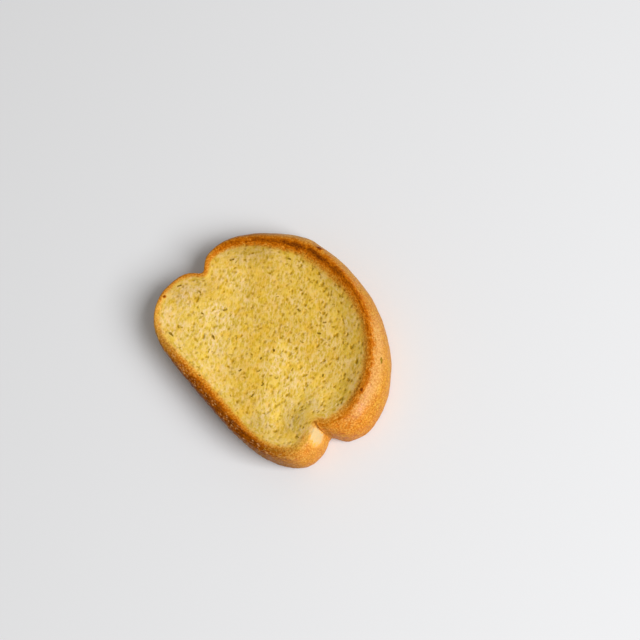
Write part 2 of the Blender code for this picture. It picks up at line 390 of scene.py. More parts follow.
def add_values(mesh, name, values):
    """Stores a number or a vector for each vertex, for a material to read."""
    values = np.asarray(values, np.float32)
    if values.ndim == 1:
        mesh.attributes.new(name, "FLOAT", "POINT").data.foreach_set("value", values)
    else:
        mesh.attributes.new(name, "FLOAT_VECTOR", "POINT").data.foreach_set("vector", values.ravel())


def heading(turn):
    """The level way at this angle, anticlockwise from +X."""
    return Vector((math.cos(turn), math.sin(turn), 0))


def directions_of(places):
    """The direction of each place from the middle, in degrees anticlockwise from +X."""
    return np.degrees(np.arctan2(places[:, 1], places[:, 0]))


def smooth_step(values, low=0.0, high=1.0):
    share = np.clip((values - low) / (high - low), 0, 1)
    return share * share * (3 - 2 * share)


def waves(places, size, key):
    """Smooth noise from about -1 to 1 at each place, with waves of this size in millimetres."""
    shift = Vector((key * 7.3, key * 3.1, key * 5.7))
    return np.array([noise.noise(Vector(place) / size + shift) for place in places])


def layered(places, layers):
    """The sum of some waves, each with its height, its size and its key."""
    return sum(height * waves(places, size, key) for height, size, key in layers)


def blisters(places, size):
    """Rounded cells of this size in millimetres: 1 at a cell's middle and 0 between cells."""
    nearest = np.array([noise.voronoi(Vector(place) / size)[0][0] for place in places])
    return smooth_step(nearest, 0.62, 0.1)


def tree_of(places, indices=None):
    """A tree that finds the nearest of these places, by their own or the given indices."""
    tree = kdtree.KDTree(len(places))
    for place, i in zip(places, range(len(places)) if indices is None else indices):
        tree.insert(place, int(i))
    tree.balance()
    return tree


def surface_tree(mesh):
    places = [Vector(place) for place in places_of(mesh)]
    return BVHTree.FromPolygons(places, [list(face.vertices) for face in mesh.polygons])


def rider(piece, material):
    """Finishes a piece: its material and its body."""
    piece.data.materials.clear()
    piece.data.materials.append(material)
    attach(piece, "root")


# Reading the slice off its solid


class Rim:
    """The crest round one cut face of the slice, found along each direction from the middle."""

    def __init__(self, tree, upward):
        near, far, step = RIM_SEARCH
        radii = np.arange(far, near, -step)
        facing = 1 if upward else -1
        found = []
        for k in range(DIRECTIONS):
            outward = heading(2 * math.pi * k / DIRECTIONS)
            best = (-math.inf, 0.0)
            for radius in radii:
                start = outward * radius + Vector((0, 0, 100 * facing))
                hit = tree.ray_cast(start, Vector((0, 0, -facing)))[0]
                if hit is not None:
                    level = round(facing * hit.z / LEVEL_STEP)
                    best = max(best, (level, radius))
            found.append((best[1], facing * best[0] * LEVEL_STEP))
        found = np.array(found)
        found = (np.roll(found, 1, 0) + 2 * found + np.roll(found, -1, 0)) / 4
        count = DIRECTIONS * RIM_POINTS_PER_DIRECTION
        self.turns = np.arange(count) * 2 * math.pi / count
        steps = np.arange(count) / RIM_POINTS_PER_DIRECTION
        around = np.arange(DIRECTIONS)
        self.radii = np.interp(steps, around, found[:, 0], period=DIRECTIONS)
        heights = np.interp(steps, around, found[:, 1], period=DIRECTIONS)
        self.points = np.stack(
            [self.radii * np.cos(self.turns), self.radii * np.sin(self.turns), heights], axis=1
        )
        self.along = np.roll(self.points, -1, 0) - np.roll(self.points, 1, 0)
        gaps = np.linalg.norm(self.points - np.roll(self.points, 1, 0), axis=1)
        self.travelled = np.cumsum(gaps)
        self.tree = tree_of(self.points)

    def measure(self, places):
        """For each place: its distance inside the crest, below zero outside, and the crest point's index."""
        nearest = np.empty(len(places), int)
        distance = np.empty(len(places))
        for i, place in enumerate(places):
            _, nearest[i], distance[i] = self.tree.find(place)
        turns = np.arctan2(places[:, 1], places[:, 0]) % (2 * math.pi)
        reach = np.interp(turns, self.turns, self.radii, period=2 * math.pi)
        inside = np.hypot(places[:, 0], places[:, 1]) < reach
        return np.where(inside, distance, -distance), nearest

    def crustwise(self, inset, nearest, stretch):
        """Places on a drum: its round is the crest, shortened by the stretch, and its axis runs inwards."""
        length = self.travelled[-1]
        turns = self.travelled[nearest] / length * 2 * math.pi
        radius = length / (2 * math.pi * stretch)
        return np.stack([radius * np.cos(turns), radius * np.sin(turns), inset], axis=1)


def flakes_and_cells(places, rim):
    """The flakes that stand up from the solid's upper face and the cells sunk in it, as spreads."""
    inset, _ = rim.measure(places)
    places = places[(inset > CLEAR_OF_RIM) & (places[:, 2] > HIGH_UP)]
    rise = np.array([stands_out(place, places) for place in places])
    found = []
    for height in (rise - FLAKE_STANDS, -rise - CELL_SINKS):
        left = places[height > 0][np.argsort(-height[height > 0])]
        spreads = []
        while len(left):
            close = np.linalg.norm(left[:, :2] - left[0, :2], axis=1) < LUMP_REACH
            if close.sum() >= LEAST_IN_LUMP:
                spreads.append(spread_of(left[close, :2]))
            left = left[~close]
        found.append(spreads)
    return found


def stands_out(place, places):
    """How far a point stands above a plane laid through most of its surroundings."""
    offsets = places[np.linalg.norm(places[:, :2] - place[:2], axis=1) < SURROUNDINGS] - place
    kept = np.ones(len(offsets), bool)
    for _ in range(3):
        flat = np.column_stack([offsets[:, :2], np.ones(len(offsets))])
        plane = np.linalg.lstsq(flat[kept], offsets[kept, 2], rcond=None)[0]
        miss = np.abs(offsets[:, 2] - flat @ plane)
        kept = miss < max(0.08, 1.2 * np.median(miss))
    return -plane[2]


def spread_of(flat):
    """The middle, the direction and the length of a group of places, seen from above."""
    middle = (flat.min(0) + flat.max(0)) / 2
    offsets = flat - middle
    longest = np.linalg.eigh(offsets.T @ offsets)[1][:, 1]
    return middle, math.atan2(longest[1], longest[0]), 2 * np.abs(offsets @ longest).max() + 0.3


# The bread


def bread_mesh(grid):
    """A copy of the solid, made an even smooth skin that is finer on the crumb, heel and crevice."""
    bread = new_piece("garlic_toast", SOLID.data.copy())
    bpy.ops.object.mode_set(mode="EDIT")
    bpy.ops.mesh.select_all(action="SELECT")
    bpy.ops.mesh.remove_doubles(threshold=1e-5)
    bpy.ops.object.mode_set(mode="OBJECT")
    merged = places_of(bread.data)
    tree = surface_tree(bread.data)
    upper, lower = Rim(tree, upward=True), Rim(tree, upward=False)
    apply_modifier(bread, "REMESH", mode="VOXEL", voxel_size=grid)
    places = places_of(bread.data)
    inset, _ = upper.measure(places)
    height, outside = places[:, 2], inset < -SIDE_STARTS
    parts = {
        "upper_crumb": ((inset > CLEAR_OF_RIM) & (height > HIGH_UP), CRUMB_ROUNDS),
        "side": (outside & (height > 2), SIDE_ROUNDS),
        "dome": (outside & (height > 1) & (in_sector(places, DOME) > 0.5), DOME_ROUNDS),
    }
    for name, (chosen, rounds) in parts.items():
        group = bread.vertex_groups.new(name=name)
        group.add([int(i) for i in np.nonzero(chosen)[0]], 1.0, "REPLACE")
        smooth(bread, rounds, name)
    smooth(bread, LAST_ROUNDS[0])
    bread.vertex_groups.clear()
    places = places_of(bread.data)
    inset, _ = upper.measure(places)
    fine = (inset > -FINE_OUTSIDE) & (places[:, 2] > HIGH_UP)
    fine |= (inset < 0) & (in_sector(places, HEEL) > 0.5) & (places[:, 2] > 2)
    divide(bread, fine | (to_crevice(places) < FINE_BY_CREVICE[0]))
    divide(bread, to_crevice(places_of(bread.data)) < FINE_BY_CREVICE[1])
    smooth(bread, LAST_ROUNDS[1])
    select_only(bread)
    bpy.ops.object.shade_smooth()
    return bread, upper, lower, merged


def in_sector(places, sector):
    """1 in a sector of directions from the middle and 0 away from it."""
    middle, spread = sector
    away = np.abs((directions_of(places) - middle + 180) % 360 - 180)
    return smooth_step(spread - away, -SECTOR_EDGE, 0)


def to_crevice(places):
    """How far each place is from the line of the crevice."""
    corners = np.array(CREVICE)
    steps = np.linspace(0, len(corners) - 1, 120)
    line = np.column_stack([np.interp(steps, range(len(corners)), corners[:, axis]) for axis in range(3)])
    tree = tree_of(line)
    return np.array([tree.find(place)[2] for place in places])


def divide(bread, chosen):
    """Divides each face that has all its vertices among those chosen into four."""
    mesh = bread.data
    select_only(bread)
    bpy.ops.object.mode_set(mode="EDIT")
    bpy.ops.mesh.select_mode(type="FACE")
    bpy.ops.mesh.select_all(action="DESELECT")
    bpy.ops.object.mode_set(mode="OBJECT")
    faces = [bool(all(chosen[i] for i in face.vertices)) for face in mesh.polygons]
    mesh.polygons.foreach_set("select", faces)
    bpy.ops.object.mode_set(mode="EDIT")
    bpy.ops.mesh.subdivide(number_cuts=1, smoothness=0)
    bpy.ops.object.mode_set(mode="OBJECT")


def pore_depths(places, inset, nearest, rim, cells, settings):
    """How deep each vertex of the upper crumb lies in a pore, from 0 to about 1."""
    draw = random.Random(11)
    face = np.nonzero((inset > 0.8) & (places[:, 2] > HIGH_UP))[0]
    tree = tree_of([(places[i][0], places[i][1], 0) for i in face], face)
    depths = np.zeros(len(places))
    shaded = in_sector(places, SLOW_FADE)
    grain = math.radians(GRAIN_TURN)
    pores = [(middle, turn, length, 1.3, 0.5) for middle, turn, length in cells]
    for _ in range(settings.pores):
        i = face[draw.randrange(len(face))]
        ahead = rim.along[nearest[i]]
        led = math.exp(-inset[i] / FOLLOW_REACH)
        turn = math.atan2(ahead[1], ahead[0]) if draw.random() < led else grain
        turn += draw.gauss(0, 0.6 - 0.3 * led)
        size = draw.random() ** 2.4
        depth = (0.25 + 0.75 * size * draw.uniform(0.6, 1.2)) * min(1.0, inset[i] / 3.0)
        depth *= 1 + 0.4 * shaded[i]
        slender = draw.uniform(0.5, 0.95) - 0.15 * led
        pores.append((places[i][:2], turn, 0.8 + 1.3 * size, depth, slender))
    for middle, turn, length, depth, slender in pores:
        around = tree.find_range((middle[0], middle[1], 0), length * 0.75)
        if not around:
            continue
        index = np.array([found[1] for found in around])
        offset = places[index, :2] - middle
        across = np.array((math.cos(turn), math.sin(turn)))
        u = offset @ across / (length / 2)
        v = (offset[:, 1] * across[0] - offset[:, 0] * across[1]) / (length * slender / 2)
        ragged = 1 + 0.25 * np.sin(3 * np.arctan2(v, u) + 9 * turn)
        hollow = depth * np.clip(1 - (u * u + v * v) / ragged, 0, 1) ** 0.75
        depths[index] = np.maximum(depths[index], hollow)
    return depths


def browning(places, normals, lower, inset):
    """How baked each vertex is, from 0 in raw crumb to 1 in the darkest crust."""
    table = np.array(BROWNING, float)
    degrees = directions_of(places)
    darkest, where, fade_in, fade_out, side = (
        np.interp(degrees, table[:, 0], table[:, column], period=360) for column in range(1, 6)
    )
    from_line = inset - where + layered(places, WANDER) * smooth_step(darkest, 0.2, 0.8)
    slow = SLOW_SHARE[0] + SLOW_SHARE[1] * in_sector(places, SLOW_FADE)
    tail = np.exp(-((np.maximum(from_line, 0) / TAIL) ** TAIL_POWER))
    inward = (1 - slow) * (1 - smooth_step(from_line / fade_in)) + slow * tail
    fringe = FRINGE * (1 - smooth_step(from_line / (FRINGE_REACH * fade_in)))
    inward = darkest * inward + (1 - inward) * np.minimum(fringe, darkest)
    outward = np.exp(-((np.clip(-from_line, 0, None) / fade_out) ** OUTWARD_POWER))
    outward = side + (darkest - side) * outward
    under_inset, _ = lower.measure(places)
    under = 0.75 * (1 - smooth_step((under_inset - 0.4) / 4.0)) + 0.1
    height = places[:, 2]
    lower_face = smooth_step(under_inset, -0.4, 0.4) * (height < 3) * smooth_step(-normals[:, 2], 0.3, 0.8)
    near_floor = (0.7 - side) * np.exp(-np.abs(under_inset) / 1.5)
    upper = np.where(inset > 0, np.minimum(inward, outward), outward)
    baked = np.where(height > HIGH_UP, upper, side + np.clip(near_floor, 0, None))
    return baked * (1 - lower_face) + under * lower_face


def bare_crumb(places, normals, inset):
    """Where the tear left crumb bare beside the crevice, from 0 to 1."""
    ragged = places + 0.8 * np.stack([waves(places, 1.6, key) for key in (11, 12, 13)], axis=1)
    torn = np.exp(-((((ragged - np.array(TEAR_PLACE)) / np.array(TEAR_REACH)) ** 2).sum(1)))
    return torn * (smooth_step(normals[:, 1], -0.15, 0.25) * smooth_step(-inset, -0.8, 0.6))


def burnt_spots(places):
    """For each burnt spot, how near its middle each vertex is, from 0 to 1."""
    spots = [np.linalg.norm(places - np.array(spot[:3]), axis=1) / spot[3] for spot in BURNT_SPOTS]
    return [np.exp(-(spot**2)) for spot in spots]


def rise_to_rim(places, inset, crest):
    """How far the crumb is levelled where it rises gently to a crest of this height."""
    face = smooth_step(inset, -0.5, 1.0) * (places[:, 2] > HIGH_UP)
    rise = np.zeros(len(places))
    for sector, share, drop, reach in GENTLE_RIMS:
        level = crest - drop * smooth_step(inset, 0, reach)
        beside_rim = face * (1 - smooth_step(inset, 0.3 * reach, reach))
        rise += share * in_sector(places, sector) * beside_rim * np.clip(level - places[:, 2], 0, None)
    return rise


def crumb_shades(places, inset):
    """Where the crumb is richer with butter, less so by the notch as painted light, and where shade is
    painted on it.
    """
    way, stretch = RICHER_WAY
    rich = smooth_step(places @ np.array(way), *stretch) * (1 - NOTCH_LIT_SHARE * in_sector(places, NOTCH_LIT))
    painted_shade = sum(weight * smooth_step(places @ np.array(way), *stretch) for way, weight, stretch in PAINTED_SHADE_WAYS)
    for sector, weight, fade in PAINTED_SHADE_SECTORS:
        painted_shade += weight * in_sector(places, sector) * (1 - smooth_step(inset, *fade))
    return rich, painted_shade


def painted_sheen_on_side(places, inset, on_side):
    """Where a pinkish sheen is painted on the side, below the crest."""
    sectors = np.max([in_sector(places, sector) for sector in SHEEN_SECTORS], axis=0)
    below_crest = on_side * (1 - smooth_step(-inset, 5.0, 9.5))
    return below_crest * (SHEEN_ELSEWHERE + (1 - SHEEN_ELSEWHERE) * sectors)


def relieve(bread, upper, lower, merged, settings):
    """Opens the pores, roughens the crust and stores what the material reads."""
    mesh = bread.data
    flakes, cells = flakes_and_cells(merged, upper)
    places, normals = places_of(mesh), normals_of(mesh)
    inset, nearest = upper.measure(places)
    heel = in_sector(places, HEEL) * smooth_step(-inset, -3.5, -1.0) * smooth_step(normals[:, 2], -0.9, -0.4)
    blistered = heel * smooth_step(-inset, -2.0, 0.5)
    depths = pore_depths(places, inset, nearest, upper, cells, settings)
    torn = bare_crumb(places, normals, inset)
    crevice = np.exp(-((to_crevice(places) / CREVICE_REACH) ** 2))
    burnt = burnt_spots(places)
    blackened = np.clip(1.8 * np.max(burnt, axis=0), 0, 1)
    baked = np.maximum(browning(places, normals, lower, inset), blackened)

    drum = upper.crustwise(inset, nearest, settings.stretch)
    cells_height = blisters(drum, 1.1) + 0.5 * blisters(drum + 40, 0.8)
    on_crumb = smooth_step(inset, 0.8, 3.5) * (places[:, 2] > HIGH_UP)
    rise = on_crumb * layered(places, CRUMB_WAVES) + (1 - on_crumb) * layered(places, CRUST_WAVES)
    rise += blistered * BLISTER_HEIGHT * (cells_height - BLISTER_LEVEL)
    rise += burnt[0] * BURNT_HEIGHT + torn * 0.25 * waves(places * np.array((1, 1, 0.3)), 1.0, 8)
    rise += rise_to_rim(places, inset, upper.points[nearest, 2])
    rise *= smooth_step(places[:, 2], 0.0, 1.5)
    places += normals * (rise - depths * settings.pore_depth / MM)[:, None]
    places += crevice[:, None] * np.array(CREVICE_INWARD)
    places[:, 2] = np.clip(places[:, 2], 0, None)
    move_vertices(mesh, places)

    on_side = smooth_step(-inset, 0.6, 1.8)
    dusty = 0.45 + 0.55 * np.exp(-(((inset + 0.5) / 3.0) ** 2))
    rich, painted_shade = crumb_shades(places, inset)
    stored = {
        "Baked": baked,
        "Pore": depths,
        "Torn": torn,
        "Heel": heel,
        "Dusty": heel * dusty,
        "Blister": blistered * cells_height * dusty,
        # painted shade in the crevice, darkest at its top
        "CreviceShade": crevice * (0.4 + 0.6 * smooth_step(places[:, 2], 16.0, 18.6)),
        "Side": on_side,
        # painted sheen on the side
        "PaintedSheen": painted_sheen_on_side(places, inset, on_side),
        "Rich": rich,
        # painted shade on the crumb
        "PaintedShade": painted_shade,
        "Crustwise": drum,
        "Follow": np.exp(-np.clip(inset, 0, None) / FOLLOW_REACH),
    }
    for name, values in stored.items():
        add_values(mesh, name, values)
    return flakes


def lay_flat(mesh, upper, lower):
    """Lays the skin out on one sheet without overlaps: the cut face, the underside and the side in strips."""
    places = places_of(mesh)
    inset, nearest = upper.measure(places)
    under, _ = lower.measure(places)
    corners = read(mesh.loops, "vertex_index")
    firsts, counts = read(mesh.polygons, "loop_start"), read(mesh.polygons, "loop_total")

    def over_face(values):
        """The mean of a face's corners, once for each of them."""
        return np.repeat(np.add.reduceat(values[corners], firsts) / counts, counts)

    high = over_face(places[:, 2]) > HIGH_UP
    seen_flat = (places - places.min(0))[corners, :2]
    sheet = seen_flat + SHEET_BORDER
    below = ~high & (over_face(under) > -OVER_THE_CREST)
    sheet[below] = seen_flat[below, ::-1] * UNDERSIDE_SCALE + np.array(UNDERSIDE_CORNER)

    length = upper.travelled[-1]
    ahead = upper.along / np.linalg.norm(upper.along, axis=1)[:, None]
    onward = ((places - upper.points[nearest]) * ahead[nearest]).sum(1)
    travelled = (upper.travelled[nearest] + onward) % length
    start = np.repeat(travelled[corners[firsts]], counts)
    step = (travelled[corners] - start + length / 2) % length - length / 2
    strip = np.floor(start / length * SIDE_STRIPS)
    along = start - strip * length / SIDE_STRIPS + np.clip(step, -LONGEST_FACE, LONGEST_FACE)
    strips = np.column_stack([along + 3 * SHEET_BORDER, FIRST_STRIP + strip * STRIP_HEIGHT - inset[corners]])
    side = ~below & ~(high & (over_face(inset) > -OVER_THE_CREST))
    sheet[side] = strips[side]
    layer = mesh.uv_layers.new(name="OFBake")
    layer.data.foreach_set("uv", (sheet / SHEET).astype(np.float32).ravel())


# The herb


def leaf_shape(name, across, seed, thickness):
    """One curled scrap of leaf, a unit long: its vertices and its faces."""
    draw = random.Random(seed)
    bpy.ops.object.select_all(action="DESELECT")
    bpy.ops.mesh.primitive_grid_add(x_subdivisions=across, y_subdivisions=max(2, across // 2), size=1)
    leaf = just_added(name)
    places = places_of(leaf.data) * MM
    x, y = places[:, 0], places[:, 1]
    width = 0.37 * draw.uniform(0.85, 1.2)
    edge = np.sqrt(np.clip(1 - np.abs(2 * x) ** 2.4, 0.06, 1))
    jagged = 1 + 0.28 * np.sin(9 * x + draw.uniform(0, 6)) * np.abs(2 * y)
    bent = draw.uniform(-0.16, 0.16) * np.cos(4 * x + draw.uniform(0, 6))
    y = y * width * edge * jagged + bent
    z = draw.uniform(0.1, 0.3) * x**2 + draw.uniform(0.8, 1.6) * y**2
    z += 0.03 * np.sin(14 * x + draw.uniform(0, 6))
    move_vertices(leaf.data, np.column_stack([x, y, z - z.mean()]) / MM)
    apply_modifier(leaf, "SOLIDIFY", thickness=thickness, offset=0)
    shape = places_of(leaf.data) * MM
    faces = np.array([face.vertices[:] for face in leaf.data.polygons])
    bpy.data.objects.remove(leaf)
    return shape, faces


def scatter(name, shapes, spots):
    """Joins a copy of a leaf for each spot: where it lies, the way up there, turn, length and shade."""
    draw = random.Random(len(spots))
    all_places, all_faces, shades = [], [], []
    count = 0
    for place, up, turn, length, shade in spots:
        shape, faces = shapes[draw.randrange(len(shapes))]
        lie = Vector(up).to_track_quat("Z", "Y").to_matrix()
        tilt = Matrix.Rotation(draw.gauss(0, 0.16), 3, "X") @ Matrix.Rotation(draw.gauss(0, 0.12), 3, "Y")
        ahead = lie.inverted() @ heading(turn)
        spin = Matrix.Rotation(math.atan2(ahead.y, ahead.x), 3, "Z")
        turned = np.array(lie @ spin @ tilt)
        pressed = STEEP_PRESSED if up[2] < STEEP else 1.0
        all_places.append(shape * (1, 1, pressed) @ turned.T * length + np.array(place))
        all_faces.append(faces + count)
        shades.append(np.full(len(shape), shade))
        count += len(shape)
    mesh = bpy.data.meshes.new(name)
    mesh.from_pydata((np.concatenate(all_places) * MM).tolist(), [], np.concatenate(all_faces).tolist())
    add_values(mesh, "Shade", np.concatenate(shades))
    piece = new_piece(name, mesh)
    bpy.ops.object.shade_smooth_by_angle(angle=math.radians(50))
    return piece


def lying_on(tree, x, y, lift):
    """The place on the bread below a point, a little above its skin, and the way up there."""
    hit, up, _, _ = tree.ray_cast(Vector((x, y, 100)), Vector((0, 0, -1)))
    if up.z < STEEP:
        return hit + up * (lift - STEEP_SUNK), up
    up = (up + Vector((0, 0, 1))).normalized()
    return hit + up * lift, up


# Materials


class Wiring:
    """Adds nodes to a tree and joins them, so that a material reads as a list of steps."""

    def __init__(self, tree):
        self.tree = tree

    def node(self, kind, inputs=None, **settings):
        node = self.tree.nodes.new(kind)
        for name, value in settings.items():
            setattr(node, name, value)
        self.feed(node.inputs, inputs or {})
        return node

    def feed(self, sockets, values):
        """Gives each named socket a value, a colour or what another socket gives."""
        for name, value in values.items():
            if isinstance(value, bpy.types.NodeSocket):
                self.tree.links.new(value, sockets[name])
            else:
                sockets[name].default_value = rgba(value) if isinstance(value, Color) else value

    def attribute(self, name, output="Fac"):
        return self.node("ShaderNodeAttribute", attribute_name=name).outputs[output]

    def millimetres(self):
        """Object coordinates in millimetres."""
        where = self.node("ShaderNodeTexCoord").outputs["Object"]
        scaled = self.node("ShaderNodeMapping", {"Vector": where, "Scale": (1 / MM, 1 / MM, 1 / MM)})
        return scaled.outputs["Vector"]

    def noise(self, where, size, detail=2.0, roughness=0.5):
        values = {"Vector": where, "Scale": 1 / size, "Detail": detail, "Roughness": roughness}
        return self.node("ShaderNodeTexNoise", values).outputs["Fac"]

    def cells(self, where, size):
        """The distance to the nearest of scattered points, in gaps between them."""
        return self.node("ShaderNodeTexVoronoi", {"Vector": where, "Scale": 1 / size}).outputs["Distance"]

    def between(self, value, low, high, new_low=0.0, new_high=1.0):
        """The value's range from low to high, made new_low to new_high with soft ends."""
        values = {"Value": value, "From Min": low, "From Max": high, "To Min": new_low, "To Max": new_high}
        return self.node("ShaderNodeMapRange", values, interpolation_type="SMOOTHSTEP").outputs["Result"]

    def combine(self, operation, first, second, clamp=False):
        """What one of the Math node's operations makes of two numbers."""
        values = {0: first, 1: second}
        return self.node("ShaderNodeMath", values, operation=operation, use_clamp=clamp).outputs[0]

    def times(self, first, second, clamp=False):
        return self.combine("MULTIPLY", first, second, clamp)

    def plus(self, first, second, clamp=False):
        return self.combine("ADD", first, second, clamp)

    def blend(self, share, first, second):
        """A number between two others."""
        values = {"Factor": share, "A": first, "B": second}
        return self.node("ShaderNodeMix", values, data_type="FLOAT").outputs[0]

    def weighted(self, *parts):
        """The sum of some values, each times its weight."""
        total = 0.0
        for value, weight in parts:
            total = self.plus(self.times(value, weight), total)
        return total

    def mix(self, share, first, second, blend="MIX"):
        values = {"Factor": share, 6: first, 7: second}
        return self.node("ShaderNodeMix", values, data_type="RGBA", blend_type=blend).outputs[2]

    def tint(self, share, colour, shade):
        """The colour, multiplied by this share of the shade."""
        return self.mix(share, colour, shade, blend="MULTIPLY")

    def group(self, tree, **inputs):
        values = {name.capitalize(): value for name, value in inputs.items()}
        return self.node("ShaderNodeGroup", values, node_tree=tree).outputs

    def bump(self, height, strength, distance):
        values = {"Strength": strength, "Distance": distance, "Height": height}
        return self.node("ShaderNodeBump", values).outputs["Normal"]


SCALAR = "NodeSocketFloat"
VECTOR = "NodeSocketVector"


def new_group(name, inputs, outputs):
    """An empty shader node group: its wiring, what its inputs give and what its outputs take."""
    tree = bpy.data.node_groups.new(name, "ShaderNodeTree")
    for socket, kind in inputs.items():
        tree.interface.new_socket(socket, in_out="INPUT", socket_type=kind)
    for socket in outputs:
        tree.interface.new_socket(socket, in_out="OUTPUT", socket_type=SCALAR)
    wiring = Wiring(tree)
    given = wiring.node("NodeGroupInput").outputs
    taken = wiring.node("NodeGroupOutput").inputs
    return wiring, given, taken


def new_material(name):
    """A material, its wiring and the sockets of its Principled shader."""
    material = bpy.data.materials.new(name)
    material.use_nodes = True
    return material, Wiring(material.node_tree), material.node_tree.nodes["Principled BSDF"].inputs


def rgba(colour):
    return (*colour, 1.0)


def crumb_texture():
    """Open crumb: its mottled tone and fine relief, drawn out along the crust where that is near."""
    wiring, given, taken = new_group(
        "Open crumb",
        {"Place": VECTOR, "Crustwise": VECTOR, "Follow": SCALAR},
        ("Tone", "Height", "Pits"),
    )
    grainwise = wiring.node(
        "ShaderNodeMapping",
        {"Vector": given["Place"], "Rotation": (0, 0, math.radians(GRAIN_TURN)), "Scale": (2.0, 1, 1)},
        vector_type="TEXTURE",
    )
    patterns = [
        (
            wiring.noise(where, 1.6, roughness=0.6),
            wiring.noise(where, 0.6, roughness=0.65),
            wiring.cells(where, 1.2),
            wiring.between(wiring.cells(where, 1.1), 0.36, 0.14),
        )
        for where in (grainwise.outputs["Vector"], given["Crustwise"])
    ]
    coarse, fine, walls, pits = (wiring.blend(given["Follow"], *pair) for pair in zip(*patterns))
    few = wiring.between(wiring.noise(given["Place"], 1.8), 0.45, 0.62)
    ridges = wiring.between(walls, 0.15, 0.75)
    results = {
        "Tone": wiring.weighted((coarse, 0.45), (fine, 0.4), (ridges, 0.15)),
        "Height": wiring.weighted((coarse, 0.35), (fine, 0.45), (ridges, 0.2)),
        "Pits": wiring.times(pits, few),
    }
    wiring.feed(taken, results)
    return wiring.tree


def crust_texture():
    """Baked crust: its mottled tone, its fine relief and dark specks."""
    wiring, given, taken = new_group(
        "Baked crust", {"Place": VECTOR, "Crustwise": VECTOR}, ("Tone", "Fine", "Height", "Specks")
    )
    place = given["Place"]
    fine = wiring.noise(given["Crustwise"], 0.8, detail=3.0, roughness=0.75)
    middling = wiring.noise(given["Crustwise"], 2.0)
    broad = wiring.noise(place, 6.0)
    blister = wiring.between(wiring.cells(place, 1.1), 0.65, 0.1)
    results = {
        "Tone": wiring.weighted((fine, 0.65), (middling, 0.2), (broad, 0.15)),
        "Fine": wiring.noise(place, 0.75, roughness=0.75),
        "Height": wiring.weighted((fine, 0.4), (middling, 0.3), (blister, 0.3)),
        "Specks": wiring.between(wiring.cells(place, 1.7), 0.24, 0.1),
    }
    wiring.feed(taken, results)
    return wiring.tree


def colour_ramp(wiring, value, stops):
    """The colour at a value, from stops that each have a position and a colour."""
    ramp = wiring.node("ShaderNodeValToRGB", {"Fac": value})
    elements = ramp.color_ramp.elements
    for element, (position, colour) in zip(elements, (stops[0], stops[-1])):
        element.position, element.color = position, rgba(colour)
    for position, colour in stops[1:-1]:
        elements.new(position).color = rgba(colour)
    return ramp.outputs["Color"]


def crumb_colours(wiring, settings, crumb, place):
    """The colour of buttered crumb, and where butter soaked it."""
    broad, softly = wiring.noise(place, 9.0), wiring.noise(place, 2.6)
    tone = wiring.weighted((crumb["Tone"], 0.65), (broad, 0.12), (softly, 0.23))
    stops = ((0.0, settings.mustard), (0.35, settings.butter), (0.65, settings.cream), (1.0, settings.pale))
    colour = colour_ramp(wiring, wiring.between(tone, 0.36, 0.64), stops)
    soak = wiring.between(wiring.weighted((broad, 0.6), (softly, 0.4)), 0.42, 0.6)
    sunny = wiring.between(wiring.noise(place, 5.0, detail=1.0), 0.5, 0.62)
    colour = wiring.tint(soak, colour, settings.soaked)
    return wiring.tint(sunny, colour, settings.sunny), soak


def flour_dust(wiring, place, crustwise):
    """How much flour lies on the crust: in flecks and on the tops of the heel's blisters."""
    few = wiring.between(wiring.noise(place, 1.3), 0.38, 0.6)
    fleck = wiring.times(wiring.between(wiring.cells(crustwise, 0.7), 0.46, 0.24), few)
    fleck = wiring.times(fleck, wiring.attribute("Dusty"))
    blister = wiring.between(wiring.attribute("Blister"), 0.8, 1.3)
    return wiring.times(wiring.combine("MAXIMUM", fleck, blister), 0.75)


def crust_colours(wiring, settings, crust, on_crust, dusted):
    """The colour of baked crust from golden to dark, and the mottled browning that it follows."""
    baked = wiring.attribute("Baked")
    strength = wiring.between(baked, 0.1, 0.6, 0.35, 1.6)
    sway = wiring.times(wiring.combine("SUBTRACT", crust["Tone"], 0.5), strength)
    tone = wiring.plus(baked, sway, clamp=True)
    stops = (
        (0.10, settings.golden),
        (0.27, settings.amber),
        (0.43, settings.orange),
        (0.58, settings.tan),
        (0.73, settings.brown),
        (0.9, settings.dark),
    )
    colour = colour_ramp(wiring, tone, stops)
    painted_relief_light = wiring.mix(wiring.between(crust["Fine"], 0.32, 0.68), CRUST_PAINTED_SHADE, CRUST_PAINTED_LIGHT)
    light_crust = wiring.between(tone, 0.62, 0.36)
    # Pale grains on the lighter crust, partly painted glints
    grains_and_glints = wiring.times(wiring.between(crust["Fine"], 0.5, 0.66, 0.0, 0.34), light_crust)
    speckled = wiring.times(crust["Specks"], wiring.times(on_crust, 0.6))
    # Painted sheen: a pinkish highlight on the lighter crust below the crest
    painted_sheen = wiring.times(wiring.between(tone, 0.5, 0.2), wiring.attribute("PaintedSheen"))
    painted_sheen = wiring.times(painted_sheen, wiring.between(crust["Fine"], 0.4, 0.6, 0.4, 1.0))
    layers = (
        ("MULTIPLY", 1.0, painted_relief_light),
        ("MIX", grains_and_glints, settings.grain),
        ("MIX", speckled, settings.brown),
        ("MULTIPLY", wiring.attribute("Heel"), settings.heel),
        ("MIX", painted_sheen, settings.painted_sheen),
        ("MIX", dusted, settings.flour),
    )
    for blend, share, shade in layers:
        colour = wiring.mix(share, colour, shade, blend)
    return colour, tone


